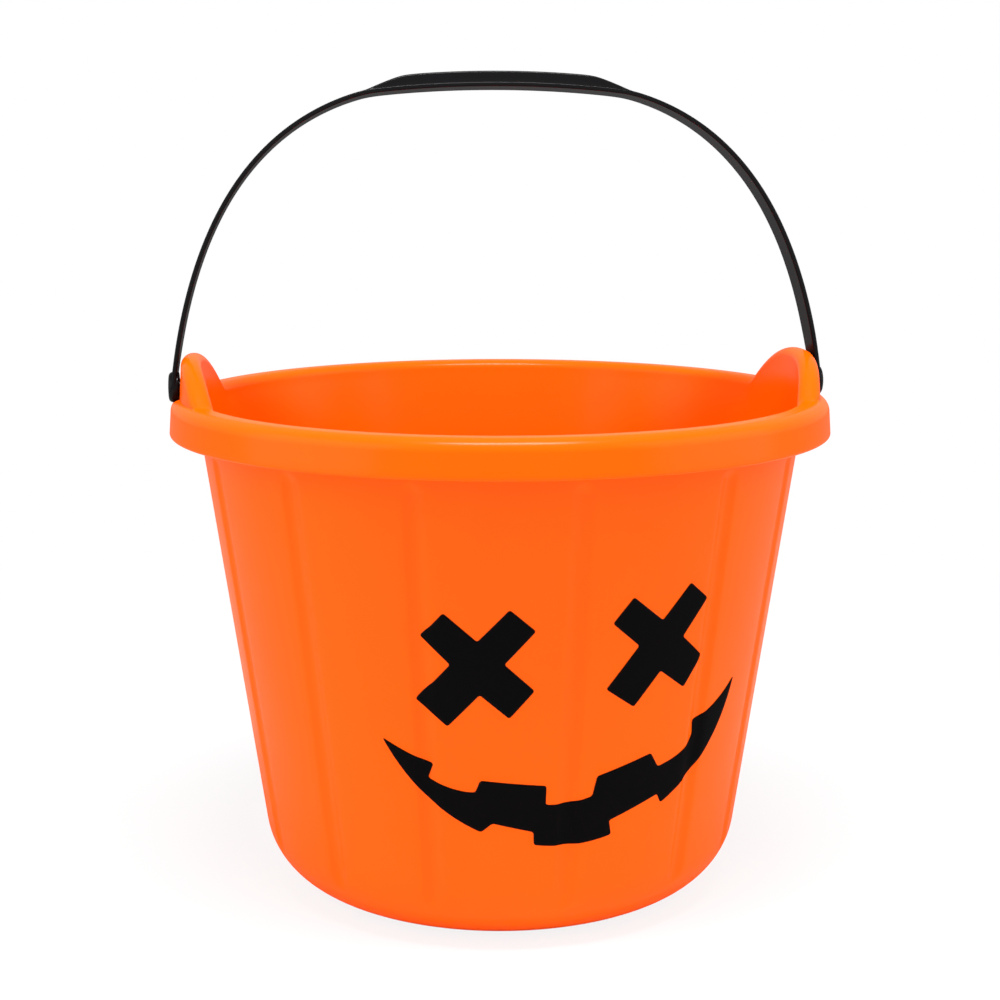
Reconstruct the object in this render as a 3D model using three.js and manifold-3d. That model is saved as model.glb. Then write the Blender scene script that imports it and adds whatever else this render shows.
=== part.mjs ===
// Halloween candy pail: a tapered, fluted plastic bucket with a carved-pumpkin face and a strap handle
// that swings on two ears of the rim. Units are millimetres. +Z is up, z = 0 is the surface that the
// pail stands on, and the Z axis is the pail's own axis.
// +X runs along the handle's pivots, and the face looks towards -Y.
import * as THREE from "three";
import { mergeVertices } from "three/addons/utils/BufferGeometryUtils.js";
import Module from "manifold-3d";

const wasm = await Module();
wasm.setup();

const DEG = Math.PI / 180;

// Bucket: overall sizes
const RIM_TOP = 161.2; // height of the rim's flat top
const WALL = 2.0; // thickness of the tapered wall, measured level
const SKIN = 1.8; // thickness of the rim, its skirt and the ears
const SKIN_EASE = 0.2; // small slope where the inside of an ear meets the rim's ceiling
const FOOT_RADIUS = 75.3; // where the tapered wall's outer line would meet the ground
const TAPER = 0.15; // growth of the radius per unit of height
const FOOT_ROUND = 24.1; // outer radius of the rounding between wall and base
const RECESS_RADIUS = 47; // the middle of the underside is raised inside this radius
const RECESS_RISE = 1.2;
const RECESS_STEP = 1.6; // radial run of the slope at the edge of the recess

// Rim: a channel that opens downwards, with its skirt hanging outside the wall
const SKIRT_HEIGHT = 11.8; // from the rim's flat top down to the skirt's lower edge
const SKIRT_STAND = 9.9; // from the wall's outer face to the skirt's outer face, at the lower edge
const SKIRT_DRAFT = 0.5; // the skirt is this much narrower where it meets the shoulder
const SKIRT_EASE = 0.4; // broken corners of the skirt's lower edge
const SHOULDER_ROUND = 4.2;
const MOUTH_ROUND = 3.1; // rounding of the rim's inner edge

// Ears: two hollow humps of the rim that carry the handle
const EAR_HEIGHT = 13.4;
const EAR_HALF_ANGLE = 19.6 * DEG; // from the ear's middle to its foot, seen from above
const EAR_BULGE = 2.55; // exponent of the hump's outline
const EAR_SET = 3.0; // the ear's outer wall stands this far inside the skirt's top
const EAR_DRAFT = 0.04; // the outer wall draws in by this much per unit of the ear's height
const EAR_CREST = 0.3; // width of the flat left between the two roundings of the ear's top
const EAR_CORNER = 1.2; // broken corner inside the ear, between its ceiling and its outer wall
const FOOT_BLEND = 0.7; // softness of the hump's foot

// Flutes: upright hollows pressed into the outside of the wall
const FLUTE_DEPTH = 1.1;
const FLUTE_ROUND = 6.1; // radius of the hollow's section
const FLUTE_LOW = 16; // height where the flute's straight axis starts
const FLUTE_SHORT = 6.4; // the flute's straight axis ends this far below the skirt's lower edge
const FRONT_FLUTES = [-71.3, -45.6, -20.8, 8.3, 38.6, 62.5]; // degrees from -Y towards +X
const BACK_FLUTES = 7; // evenly spaced over the rest of the round

// Handle: a flat strap with a grip pad at its top and a boss, pin and barb at each end
const PIVOT_RISE = 2.8; // the pivots lie this far above the rim's flat top
const HANDLE_LEAN = 4.5 * DEG; // the handle stands this far back from upright
const STRAP_WIDTH = 11.8;
const STRAP_THICK = 1.5;
const STRAP_NECK = 20; // the strap narrows to its bosses over this much height above the pivots
const STRAP_CLEAR = 0.3; // space between the strap and the top of an ear's outer face
const STRAP_EASE = 0.25; // broken long edges
const CROWN = 97.9; // height of the strap's flattened top above the pivots
const CROWN_SAG = 2.5; // drop of the flattened top at the ends of the grip
const CROWN_CUT = 1.4; // the arch would stand this much higher if its top weren't flattened
const CROWN_BLEND = 0.5;
const ARCH_DROP = 60; // the arch's centre lies this far below the pivots
const ARCH_POWER = 2.85; // exponent of the arch's superellipse
const GRIP_HALF = 43.2; // half length of the grip pad
const GRIP_HEIGHT = 3.6; // pad's height above the strap's outer face
const GRIP_RAMP = 12; // run of the pad's sloping ends
const GRIP_BLEND = 0.8; // softness between the slopes and the top
const GRIP_LIP = 0.15; // height that the pad's ends keep
const GRIP_INSET = 0.4; // the pad is this much narrower than the strap at each side
const GRIP_SINK = STRAP_THICK - 0.2; // depth that the pad reaches into the strap
const GRIP_EASE = 0.5;
const BOSS_RADIUS = 4.9;
const BOSS_GAP = 0.3; // space between the boss and the ear
const BOSS_PROUD = 0.8; // the boss stands this far outside the strap
const BOSS_ROUND = 1.2; // rounding of the boss's outer edge
const PIN_RADIUS = 2.8;
const PIN_CLEARANCE = 0.1;
const BARB_LIP = 0.7; // the snap barb is this much larger in radius than the pin
const BARB_LENGTH = 1.2;
const BARB_GAP = 0.4; // space between the barb and the inside of the ear
const BARB_CHAMFER = 0.9;
const BARB_SLOT = 0.9; // width of the slot that lets the barb close as it is pushed in
const BARB_SLOT_DEPTH = 2.4;
const SEAT_GAP = 0.3; // space between a boss and the scooped shoulder below it
const SEAT_SPREAD = 2; // the scoop is this much wider than the boss, so that the strap can swing low
const CUT_PAST = 1; // cutting shapes run this far past what they cut

// Face: three pieces of black film on the wall
const FACE_TURN = 7 * DEG; // the face's middle, from -Y towards +X
const FILM_GAP = 0.3;
const FILM_THICK = 0.35;

// Sizes that follow from those above
const wallOuter = (z) => FOOT_RADIUS + TAPER * z;
const TAPER_ANGLE = Math.atan(TAPER);
// The centre of the foot rounding, so that the rounding touches both the ground and the wall.
const FOOT_CENTRE = FOOT_RADIUS + FOOT_ROUND * TAPER - FOOT_ROUND / Math.cos(TAPER_ANGLE);
const SKIRT_BOTTOM = RIM_TOP - SKIRT_HEIGHT;
const SKIRT_RADIUS = wallOuter(SKIRT_BOTTOM) + SKIRT_STAND;
const SHOULDER_RADIUS = SKIRT_RADIUS - SKIRT_DRAFT;
const EAR_RADIUS = SHOULDER_RADIUS - EAR_SET;
const innerWall = (z) => wallOuter(z) - WALL;
const MOUTH_CENTRE = innerWall(RIM_TOP - MOUTH_ROUND) + MOUTH_ROUND; // of the inner edge's rounding
// The outer rounding of an ear's top takes the thickness that the inner rounding and the crest leave.
const EAR_EDGE = EAR_RADIUS - EAR_DRAFT * EAR_HEIGHT - MOUTH_CENTRE - EAR_CREST;
const FLUTE_HIGH = SKIRT_BOTTOM - FLUTE_SHORT;
const PIVOT_Z = RIM_TOP + PIVOT_RISE;
const EAR_FACE_TOP = EAR_HEIGHT - EAR_EDGE - PIVOT_RISE; // above the pivots
const ARCH_RISE = CROWN + CROWN_CUT + ARCH_DROP;
// Share of the arch's half width that is left at a height above the pivots.
const archShare = (z) => (1 - ((z + ARCH_DROP) / ARCH_RISE) ** ARCH_POWER) ** (1 / ARCH_POWER);
const ARCH_HALF_WIDTH = (EAR_RADIUS + STRAP_CLEAR + STRAP_THICK) / archShare(EAR_FACE_TOP);
const BOSS_INNER = EAR_RADIUS + BOSS_GAP;
const BOSS_OUTER = ARCH_HALF_WIDTH * archShare(0) + BOSS_PROUD;
const BARB_FACE = EAR_RADIUS - EAR_DRAFT * EAR_HEIGHT - SKIN - BARB_GAP;
const HOLE_RADIUS = PIN_RADIUS + PIN_CLEARANCE;
const BARB_RADIUS = PIN_RADIUS + BARB_LIP;

// Points (r, z) on an arc about (cr, cz), from one angle to another, both ends included.
function arc(cr, cz, radius, from, to, steps, extra = {}) {
  return Array.from({ length: steps + 1 }, (_, i) => {
    const a = from + ((to - from) * i) / steps;
    return { r: cr + radius * Math.cos(a), z: cz + radius * Math.sin(a), ...extra };
  });
}

// Height of an ear above the rim at an angle from the nearest ear's middle.
function earRise(angle) {
  const h = EAR_HEIGHT * (1 - Math.pow(Math.abs(angle) / EAR_HALF_ANGLE, EAR_BULGE));
  return (h + Math.hypot(h, FOOT_BLEND)) / 2;
}

// Angle, measured about the Z axis, to the nearest of the two ears at +X and -X.
const fromEar = (phi) => Math.abs(Math.abs(phi) - Math.PI / 2);

// The shoulder under each handle boss is scooped out round the pivot.
function seatHeight(phi) {
  const reach = BOSS_RADIUS + SEAT_GAP;
  const s = (EAR_RADIUS * fromEar(phi)) / SEAT_SPREAD;
  return s < reach ? PIVOT_Z - Math.sqrt(reach * reach - s * s) : Infinity;
}

// Angles of the bucket's upright lines: close together at the ears and their seats, wider elsewhere.
function columnAngles() {
  const coarse = 6 * DEG;
  const fine = 2.8 * DEG;
  const seat = 1 * DEG;
  const half = [0];
  for (let i = 1; i <= 4; i++) half.push(i * seat);
  while (half[half.length - 1] < EAR_HALF_ANGLE + fine) half.push(half[half.length - 1] + fine);
  const left = Math.PI / 2 - half[half.length - 1];
  const steps = Math.round(left / coarse);
  const start = half[half.length - 1];
  for (let i = 1; i <= steps; i++) half.push(start + (left * i) / steps);
  const quarter = half.map((a) => Math.PI / 2 - a).reverse(); // from 0 at -Y to the ear at +X
  const right = [...quarter, ...quarter.slice(0, -1).reverse().map((a) => Math.PI - a)];
  return [...right.map((a) => -a).reverse().slice(0, -1), ...right].slice(0, -1);
}
const COLUMNS = columnAngles();

// A geometry as a solid, with its doubled points merged and its faces turned outwards.
function toManifold(geometry) {
  const bare = new THREE.BufferGeometry();
  bare.setAttribute("position", geometry.getAttribute("position"));
  if (geometry.index) bare.setIndex(geometry.index);
  const merged = mergeVertices(bare, 1e-4);
  const source = merged.index.array;
  const kept = [];
  for (let i = 0; i < source.length; i += 3) {
    const [a, b, c] = [source[i], source[i + 1], source[i + 2]];
    if (a !== b && b !== c && c !== a) kept.push(a, b, c);
  }
  const made = new wasm.Manifold(
    new wasm.Mesh({
      numProp: 3,
      vertProperties: merged.attributes.position.array,
      triVerts: new Uint32Array(kept),
    }),
  );
  return made.volume() < 0 ? toManifold(flipped(merged)) : made;
}

function flipped(geometry) {
  const a = geometry.index.array;
  for (let i = 0; i < a.length; i += 3) [a[i + 1], a[i + 2]] = [a[i + 2], a[i + 1]];
  return geometry;
}

// A turned body whose lines stand at the bucket's own angles and whose points may move with the angle.
function turned(profile, place = (p) => p) {
  const points = profile.map((p) => new THREE.Vector2(p.r, p.z));
  const lathe = new THREE.LatheGeometry(points, COLUMNS.length);
  const position = lathe.getAttribute("position");
  for (let i = 0; i <= COLUMNS.length; i++) {
    const phi = COLUMNS[i % COLUMNS.length];
    profile.forEach((p, j) => {
      const { r, z } = place(p, phi);
      position.setXYZ(i * profile.length + j, r * Math.sin(phi), -r * Math.cos(phi), z);
    });
  }
  return toManifold(lathe);
}

// The angle at which a round of the given radius has gone "in" inwards from its widest line.
const angleAt = (radius, inwards) => Math.acos(THREE.MathUtils.clamp(1 - inwards / radius, -1, 1));

// A point of the rim's outer top edge: it lies on the shoulder along the rim, and on a rounding of
// its own where the rim rises into an ear. "corner" is how far it lags behind the ear's rise.
function topEdge(angle) {
  const r = EAR_RADIUS - EAR_EDGE * (1 - Math.cos(angle));
  const past = Math.max(r - (SHOULDER_RADIUS - SHOULDER_ROUND), 0);
  const z = RIM_TOP - SHOULDER_ROUND + Math.sqrt(SHOULDER_ROUND ** 2 - past ** 2);
  return { r, z, lift: true, corner: z - RIM_TOP + EAR_EDGE * (1 - Math.sin(angle)) };
}

// The bucket's closed section. "lift" points rise with the ears, "seat" points give way under the bosses.
function bucketProfile() {
  const lift = { lift: true };
  const outer = { seat: 0 };
  const inner = { seat: SKIN };
  const shoulder = [SHOULDER_RADIUS - SHOULDER_ROUND, RIM_TOP - SHOULDER_ROUND];
  const innerRound = SHOULDER_ROUND - SKIN;
  const ceiling = RIM_TOP - SKIN;
  const hollow = EAR_RADIUS - SKIN - SKIN_EASE;
  const mouth = [MOUTH_CENTRE, RIM_TOP - MOUTH_ROUND];
  return [
    { r: 0, z: RECESS_RISE },
    { r: RECESS_RADIUS, z: RECESS_RISE },
    { r: RECESS_RADIUS + RECESS_STEP, z: 0 },
    ...arc(FOOT_CENTRE, FOOT_ROUND, FOOT_ROUND, -Math.PI / 2, -TAPER_ANGLE, 6),
    { r: wallOuter(SKIRT_BOTTOM), z: SKIRT_BOTTOM },
    { r: wallOuter(ceiling), z: ceiling, ...lift },
    { r: hollow - EAR_CORNER, z: ceiling, corner: 0, ...lift },
    { r: hollow, z: ceiling, corner: EAR_CORNER, ...lift },
    ...arc(...shoulder, innerRound, angleAt(innerRound, EAR_SET), 0, 4, inner),
    { r: SKIRT_RADIUS - SKIN, z: SKIRT_BOTTOM + SKIRT_EASE },
    { r: SKIRT_RADIUS - SKIN + SKIRT_EASE, z: SKIRT_BOTTOM },
    { r: SKIRT_RADIUS - SKIRT_EASE, z: SKIRT_BOTTOM },
    { r: SKIRT_RADIUS, z: SKIRT_BOTTOM + SKIRT_EASE },
    ...arc(...shoulder, SHOULDER_ROUND, 0, angleAt(SHOULDER_ROUND, EAR_SET), 4, outer),
    ...[12, 38, 64, 90].map((degrees) => topEdge(degrees * DEG)),
    ...arc(...mouth, MOUTH_ROUND, Math.PI / 2, Math.PI, 4, lift),
    { r: innerWall(SKIRT_BOTTOM), z: SKIRT_BOTTOM },
    ...arc(FOOT_CENTRE, FOOT_ROUND, FOOT_ROUND - WALL, -TAPER_ANGLE, -Math.PI / 2, 5),
    { r: RECESS_RADIUS + RECESS_STEP, z: WALL },
    { r: RECESS_RADIUS, z: WALL + RECESS_RISE },
    { r: 0, z: WALL + RECESS_RISE },
  ];
}

// Moves a point of the section to where it belongs at one angle round the bucket.
function shaped(p, phi) {
  if (p.lift) {
    const rise = earRise(fromEar(phi));
    if (p.corner === undefined) return { r: p.r, z: p.z + rise };
    return { r: p.r - EAR_DRAFT * rise, z: p.z + rise - p.corner * Math.min(1, rise / EAR_EDGE) };
  }
  if (p.seat !== undefined) return { r: p.r, z: Math.min(p.z, seatHeight(phi) - p.seat) };
  return p;
}

function fluteAngles() {
  const last = FRONT_FLUTES[FRONT_FLUTES.length - 1];
  const gap = (360 + FRONT_FLUTES[0] - last) / (BACK_FLUTES + 1);
  const back = Array.from({ length: BACK_FLUTES }, (_, i) => last + gap * (i + 1));
  return [...FRONT_FLUTES, ...back].map((a) => a * DEG);
}

// The round-ended bars that press the flutes; "offset" gives those of a surface that far outside the wall.
function fluteBars(offset = 0) {
  const stand = (FLUTE_ROUND - FLUTE_DEPTH) / Math.cos(TAPER_ANGLE);
  const length = (FLUTE_HIGH - FLUTE_LOW) / Math.cos(TAPER_ANGLE);
  const middle = (FLUTE_LOW + FLUTE_HIGH) / 2;
  const bar = new THREE.CapsuleGeometry(FLUTE_ROUND - offset, length, 5, 32);
  bar.rotateX(Math.PI / 2).rotateX(TAPER_ANGLE);
  bar.translate(0, -(wallOuter(middle) + stand), middle);
  return wasm.Manifold.union(fluteAngles().map((a) => toManifold(bar.clone().rotateZ(a))));
}

// A round bar along X between two distances from the Z axis, on the pivot line.
function pivotBar(radius, from, to) {
  const bar = new THREE.CylinderGeometry(radius, radius, to - from, 32);
  bar.rotateZ(Math.PI / 2).translate((from + to) / 2, 0, PIVOT_Z);
  return toManifold(bar);
}

const mirroredX = (solid) => solid.mirror([1, 0, 0]);

function bucket() {
  const skin = turned(bucketProfile(), shaped);
  const hole = pivotBar(HOLE_RADIUS, EAR_RADIUS - SKIN - CUT_PAST, EAR_RADIUS + CUT_PAST);
  return skin.subtract(fluteBars()).subtract(hole).subtract(mirroredX(hole));
}

const smoothMin = (a, b, soft) => (a + b - Math.hypot(a - b, soft)) / 2;

// Height above the pivots of the strap's outer line, where the arch's superellipse gives z at x.
function flattened(x, z) {
  return smoothMin(z, CROWN - CROWN_SAG * (x / GRIP_HALF) ** 2, CROWN_BLEND);
}

function archPoint(t) {
  const x = ARCH_HALF_WIDTH * Math.sign(Math.cos(t)) * Math.abs(Math.cos(t)) ** (2 / ARCH_POWER);
  const z = ARCH_RISE * Math.abs(Math.sin(t)) ** (2 / ARCH_POWER) - ARCH_DROP;
  return new THREE.Vector2(x, flattened(x, z));
}

// The same height where only x is known.
function strapTop(x) {
  const share = Math.abs(x / ARCH_HALF_WIDTH) ** ARCH_POWER;
  return flattened(x, ARCH_RISE * (1 - share) ** (1 / ARCH_POWER) - ARCH_DROP);
}

// An outline drawn in the handle's own plane, made into a plate of the given width with eased edges.
function plate(points, width, ease) {
  const shape = new THREE.Shape(points);
  const made = new THREE.ExtrudeGeometry(shape, {
    depth: width - 2 * ease,
    steps: 1,
    bevelEnabled: true,
    bevelThickness: ease,
    bevelSize: ease,
    bevelOffset: -ease,
    bevelSegments: 1,
  });
  return toManifold(made.translate(0, 0, ease - width / 2).rotateX(Math.PI / 2));
}

function strap() {
  const steps = 64;
  const low = Math.asin((ARCH_DROP / ARCH_RISE) ** (ARCH_POWER / 2));
  const line = Array.from({ length: steps + 1 }, (_, i) =>
    archPoint(low + ((Math.PI - 2 * low) * i) / steps),
  );
  const inner = line.map((p, i) => {
    const along = line[Math.min(i + 1, steps)].clone().sub(line[Math.max(i - 1, 0)]).normalize();
    return new THREE.Vector2(p.x - along.y * STRAP_THICK, p.y + along.x * STRAP_THICK);
  });
  return plate([...line, ...inner.reverse()], STRAP_WIDTH, STRAP_EASE).intersect(necks());
}

// The strap's outline seen from the side: it swells from the bosses to its full width.
function necks() {
  const [narrow, wide] = [BOSS_RADIUS, STRAP_WIDTH / 2];
  const top = CROWN + CUT_PAST;
  const shape = new THREE.Shape();
  shape.moveTo(-narrow, -CUT_PAST);
  shape.lineTo(narrow, -CUT_PAST);
  shape.lineTo(narrow, 0);
  shape.bezierCurveTo(narrow, STRAP_NECK / 2, wide, STRAP_NECK / 2, wide, STRAP_NECK);
  shape.lineTo(wide, top);
  shape.lineTo(-wide, top);
  shape.lineTo(-wide, STRAP_NECK);
  shape.bezierCurveTo(-wide, STRAP_NECK / 2, -narrow, STRAP_NECK / 2, -narrow, 0);
  const depth = 2 * (ARCH_HALF_WIDTH + CUT_PAST);
  const made = new THREE.ExtrudeGeometry(shape, { depth, bevelEnabled: false, curveSegments: 6 });
  return toManifold(made.translate(0, 0, -depth / 2).rotateX(Math.PI / 2).rotateZ(Math.PI / 2));
}

// Height of the grip pad above the strap: a level top between two sloping ends.
function padHeight(x) {
  const slope = (GRIP_HEIGHT * (GRIP_HALF - Math.abs(x))) / GRIP_RAMP;
  return Math.max(smoothMin(GRIP_HEIGHT, slope, GRIP_BLEND), GRIP_LIP);
}

function gripPad() {
  const steps = 30;
  const xs = Array.from({ length: steps + 1 }, (_, i) => GRIP_HALF * ((2 * i) / steps - 1));
  const top = xs.map((x) => new THREE.Vector2(x, strapTop(x) + padHeight(x)));
  const bottom = xs.map((x) => new THREE.Vector2(x, strapTop(x) - GRIP_SINK));
  return plate([...bottom, ...top.reverse()], STRAP_WIDTH - 2 * GRIP_INSET, GRIP_EASE);
}

// Boss, pin and snap barb at the +X end, turned about the pivot line.
function pivotEnd() {
  const tip = BARB_FACE - BARB_LENGTH;
  const half = BOSS_ROUND / 2;
  const section = [
    [0, tip],
    [BARB_RADIUS - BARB_CHAMFER, tip],
    [BARB_RADIUS, tip + BARB_CHAMFER],
    [BARB_RADIUS, BARB_FACE],
    [PIN_RADIUS, BARB_FACE],
    [PIN_RADIUS, BOSS_INNER],
    [BOSS_RADIUS, BOSS_INNER],
    [BOSS_RADIUS, BOSS_OUTER - BOSS_ROUND],
    [BOSS_RADIUS - half / 2, BOSS_OUTER - half / 2],
    [BOSS_RADIUS - BOSS_ROUND, BOSS_OUTER],
    [0, BOSS_OUTER],
  ].map(([r, x]) => new THREE.Vector2(r, x));
  const body = toManifold(new THREE.LatheGeometry(section, 32).rotateZ(-Math.PI / 2));
  const slot = new THREE.BoxGeometry(BARB_SLOT_DEPTH + CUT_PAST, 3 * BARB_RADIUS, BARB_SLOT);
  slot.translate(tip + (BARB_SLOT_DEPTH - CUT_PAST) / 2, 0, 0);
  return body.subtract(toManifold(slot));
}

function handle() {
  const end = pivotEnd();
  const upright = wasm.Manifold.union([strap(), gripPad(), end, mirroredX(end)]);
  return upright.rotate([-HANDLE_LEAN / DEG, 0, 0]).translate([0, 0, PIVOT_Z]);
}

// Outlines of the face, in millimetres: right of the face's middle, and above the ground.
const LEFT_EYE = [
  [-36.1, 108.4], [-41.9, 101.1], [-33.7, 92.7], [-42.6, 81.4], [-33.9, 73.4], [-25.3, 83.6],
  [-16.7, 76.2], [-9.7, 84.7], [-18.7, 93.0], [-10.0, 103.1], [-17.7, 109.7], [-26.5, 99.9],
];
const RIGHT_EYE = [
  [19.4, 111.5], [13.1, 104.0], [22.0, 96.2], [12.0, 83.7], [21.2, 77.1], [29.7, 87.3],
  [38.4, 80.5], [44.6, 89.6], [37.0, 97.0], [45.3, 107.8], [38.7, 113.6], [29.5, 103.2],
];

// A wide grin with two square teeth left in its upper edge and two in its lower edge. An entry of four
// is a curve: the point that pulls it, and then its end.
const MOUTH = [
  [-51.3, 68.0],
  [-44.5, 63.6, -37.3, 61.1],
  [-38.5, 56.3],
  [-31.0, 52.4, -25.6, 52.7],
  [-24.3, 56.5],
  [-5.0, 54.5],
  [-5.0, 48.4],
  [2.5, 47.8, 9.3, 50.0],
  [10.6, 56.2],
  [28.2, 61.0],
  [30.9, 56.1],
  [42.2, 58.6, 43.7, 63.8],
  [43.3, 68.2],
  [53.0, 71.2, 59.6, 78.6],
  [54.0, 55.6, 32.7, 43.8],
  [31.3, 47.0],
  [15.1, 41.3],
  [16.0, 36.6],
  [4.0, 33.6, -8.1, 35.6],
  [-8.3, 39.8],
  [-20.4, 42.8],
  [-23.6, 39.9],
  [-41.0, 48.0, -51.3, 68.0],
];

function outline(entries) {
  const shape = new THREE.Shape();
  shape.moveTo(...entries[0]);
  for (const entry of entries.slice(1)) {
    if (entry.length === 2) shape.lineTo(...entry);
    else shape.quadraticCurveTo(...entry);
  }
  return shape;
}

// The fluted wall as a solid, grown outwards by "offset".
function wallSolid(offset) {
  const [low, high] = [FOOT_ROUND, FLUTE_HIGH];
  const profile = [
    { r: 0, z: low },
    { r: wallOuter(low) + offset, z: low },
    { r: wallOuter(high) + offset, z: high },
    { r: 0, z: high },
  ];
  return turned(profile).subtract(fluteBars(offset));
}
const FILM_SHELL = wallSolid(FILM_GAP + FILM_THICK).subtract(wallSolid(FILM_GAP));

// A piece of film: the drawn shape carried straight onto the wall, so that it follows the flutes.
function film(shape) {
  const flat = new THREE.ExtrudeGeometry(shape, {
    depth: 2 * FOOT_RADIUS,
    bevelEnabled: false,
    curveSegments: 8,
  });
  const out = new THREE.Vector3(Math.sin(FACE_TURN), -Math.cos(FACE_TURN), 0);
  const side = new THREE.Vector3(Math.cos(FACE_TURN), Math.sin(FACE_TURN), 0);
  flat.applyMatrix4(new THREE.Matrix4().makeBasis(side, new THREE.Vector3(0, 0, 1), out));
  return toManifold(flat).intersect(FILM_SHELL);
}

const plastic = (color, roughness) => new THREE.MeshStandardMaterial({ color, roughness, metalness: 0 });
const ORANGE_PLASTIC = plastic("#ff6300", 0.36);
const BLACK_PLASTIC = plastic("#1d1c1e", 0.42);
const BLACK_FILM = plastic("#0e0e0e", 0.4);

function meshOf(name, solid, material) {
  const made = solid.getMesh();
  const geometry = new THREE.BufferGeometry();
  geometry.setAttribute("position", new THREE.BufferAttribute(made.vertProperties, made.numProp));
  geometry.setIndex(new THREE.BufferAttribute(made.triVerts, 1));
  const mesh = new THREE.Mesh(geometry, material);
  mesh.name = name;
  return mesh;
}

const pail = new THREE.Group();
pail.name = "candy_pail";
pail.add(
  meshOf("bucket", bucket(), ORANGE_PLASTIC),
  meshOf("handle", handle(), BLACK_PLASTIC),
  meshOf("left_eye_decal", film(outline(LEFT_EYE)), BLACK_FILM),
  meshOf("right_eye_decal", film(outline(RIGHT_EYE)), BLACK_FILM),
  meshOf("mouth_decal", film(outline(MOUTH)), BLACK_FILM),
);
export default pail;
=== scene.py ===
# Halloween candy pail: a fluted orange bucket, a black strap handle, and a carved-pumpkin face of black film.
# Blender works in metres. The sizes below are real ones in millimetres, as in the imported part, and each mesh is
# made in millimetres and brought to metres when it is finished.
import math
from collections import namedtuple

import bmesh
import bpy
import numpy as np
from mathutils import Matrix, Vector


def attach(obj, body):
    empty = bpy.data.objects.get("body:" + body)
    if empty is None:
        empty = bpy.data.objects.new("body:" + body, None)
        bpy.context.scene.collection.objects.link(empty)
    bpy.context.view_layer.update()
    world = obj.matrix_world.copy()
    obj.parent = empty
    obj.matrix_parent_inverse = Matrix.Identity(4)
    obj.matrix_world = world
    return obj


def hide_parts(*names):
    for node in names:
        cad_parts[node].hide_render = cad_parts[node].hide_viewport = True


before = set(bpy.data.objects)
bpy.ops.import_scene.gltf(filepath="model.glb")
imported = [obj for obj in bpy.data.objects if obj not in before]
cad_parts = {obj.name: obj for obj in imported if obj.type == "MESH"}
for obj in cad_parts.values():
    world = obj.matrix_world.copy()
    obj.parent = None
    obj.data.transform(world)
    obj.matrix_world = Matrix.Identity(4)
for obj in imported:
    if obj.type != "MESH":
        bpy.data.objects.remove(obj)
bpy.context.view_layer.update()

MM = 0.001
DEG = math.pi / 180

# Bucket
RIM_TOP = 161.2
WALL = 2.0
SKIN = 1.8
FOOT_RADIUS = 75.3
TAPER = 0.15
FOOT_ROUND = 24.1
RECESS_RADIUS = 47
RECESS_RISE = 1.2
RECESS_STEP = 1.6
RECESS_EASE = 0.8
GATE_RADIUS = 1.6  # the nub that the mould's gate leaves in the middle of the underside
GATE_RISE = 0.6
GATE_EASE = 0.3

# Rim
SKIRT_HEIGHT = 11.8
SKIRT_STAND = 9.9
SKIRT_DRAFT = 0.5
SKIRT_LIP = 0.75  # rounding of the skirt's lower edge, outside
SKIRT_INNER_LIP = 0.4
SHOULDER_ROUND = 4.2
MOUTH_ROUND = 3.1
CHANNEL_ROUND = 1.2  # rounding between the wall and the rim's ceiling

# Ears
EAR_HEIGHT = 13.4
EAR_HALF_ANGLE = 19.6 * DEG
EAR_BULGE = 2.55
EAR_SET = 3.0
EAR_DRAFT = 0.04
EAR_CREST = 0.3
EAR_CORNER = 1.2
FOOT_BLEND = 0.7
EAR_DROP = 24  # the inner wall starts to stretch this far below the rim's top
EAR_BRINK = 0.4  # how far outside the mouth's rounding the ear's own rows end
EAR_HEM = (1.6, 0.2)  # where no ear is, its inner wall lies flat in the rim, from and to these distances inside it

# Flutes
FLUTE_DEPTH = 1.1
FLUTE_ROUND = 6.1
FLUTE_LOW = 16
FLUTE_SHORT = 6.4
FLUTE_SOFT = 0.22  # softness of the flutes' edges
FLUTE_END = 8  # length of the wall below a flute's end that has closer rows
FRONT_FLUTES = (-70.9, -45.2, -20.4, 8.7, 39, 62.9)  # degrees from -Y towards +X
BACK_FLUTES = 7

# Handle
PIVOT_RISE = 2.8
HANDLE_LEAN = 4.5 * DEG
STRAP_WIDTH = 11.8
STRAP_THICK = 1.5
STRAP_NECK = 20
STRAP_CLEAR = 0.3
STRAP_EDGE = 0.45
CROWN = 97.9
CROWN_SAG = 2.5
CROWN_CUT = 1.4
CROWN_BLEND = 0.5
ARCH_DROP = 60
ARCH_POWER = 2.85
GRIP_HALF = 43.2
GRIP_HEIGHT = 3.6
GRIP_RAMP = 12
GRIP_BLEND = 0.8
GRIP_END_BLEND = 0.3
GRIP_INSET = 0.4
GRIP_EDGE = 0.7
GRIP_FOOT = 0.15
GRIP_DRAFT = 0.05
BOSS_RADIUS = 4.9
BOSS_GAP = 0.3
BOSS_PROUD = 0.8
BOSS_ROUND = 1.2
BOSS_INNER_ROUND = 0.25
PIN_RADIUS = 2.8
PIN_CLEARANCE = 0.1
BARB_LIP = 0.7
BARB_LENGTH = 1.2
BARB_GAP = 0.4
BARB_CHAMFER = 0.9
BARB_SLOT = 0.9
BARB_SLOT_DEPTH = 2.4
SEAT_GAP = 0.3
SEAT_SPREAD = 2
SEAT_SOFT = 0.25  # softness of the scooped seat's edge

# Face
FACE_TURN = 7.35 * DEG
FILM_STAND = 0.16  # outer face of the film, outside the wall
FILM_THICK = 0.11
FILM_CORNER = 0.7
FILM_CELL = 1.1  # spacing of the film's mesh

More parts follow.
